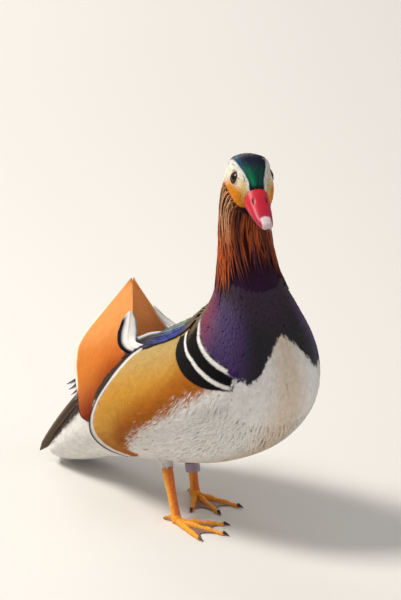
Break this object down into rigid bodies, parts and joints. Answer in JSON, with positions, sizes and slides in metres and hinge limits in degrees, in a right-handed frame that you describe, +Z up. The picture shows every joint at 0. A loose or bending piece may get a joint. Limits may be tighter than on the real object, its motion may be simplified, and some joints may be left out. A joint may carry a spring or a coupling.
{
  "type": "mandarin duck",
  "caption": "Standing mandarin drake with raised orange sail feathers, ruffed neck, crest, folded wings, webbed feet and a plain ring on its left leg, as a still display model.",
  "frame": {"origin": "on the floor, under the middle of the bird's bounding box", "axes": "+X towards the breast, +Y the bird's left side, +Z up"},
  "size_m": [0.2932, 0.1206, 0.3072],
  "materials": {
    "body_plumage": "soft body feathers, white below, golden on the flanks and maroon on the breast",
    "neck_plumage": "long silky rust-brown hackles with pale shafts",
    "head_plumage": "short dense feathers, cream and buff with a glossy green and navy crown",
    "wing_plumage": "firm flight feathers, dark with blue and green gloss and silver edges",
    "sail_plumage": "broad orange vane with a cream edge",
    "tail_plumage": "firm brown tail feathers",
    "bill_horn": "smooth crimson horn with a pale nail",
    "eye_gloss": "wet dark brown eye",
    "leg_skin": "orange-yellow scaled skin",
    "claw_horn": "dark horn",
    "ring_plastic": "plain greyish lilac ring"
  },
  "bodies": {
    "root": {"torso": "body_plumage", "neck": "neck_plumage", "head": "head_plumage", "eye_right": "eye_gloss", "eye_left": "eye_gloss", "bill_upper": "bill_horn", "bill_lower": "bill_horn", "wing_right": "wing_plumage", "wing_left": "wing_plumage", "sail_right": "sail_plumage", "sail_left": "sail_plumage", "tail": "tail_plumage", "thigh_right": "body_plumage", "thigh_left": "body_plumage", "leg_right": "leg_skin", "leg_left": "leg_skin", "foot_right": "leg_skin", "foot_left": "leg_skin", "claw_right_inner": "claw_horn", "claw_right_middle": "claw_horn", "claw_right_outer": "claw_horn", "claw_left_inner": "claw_horn", "claw_left_middle": "claw_horn", "claw_left_outer": "claw_horn", "ring_left": "ring_plastic"}
  },
  "joints": []
}
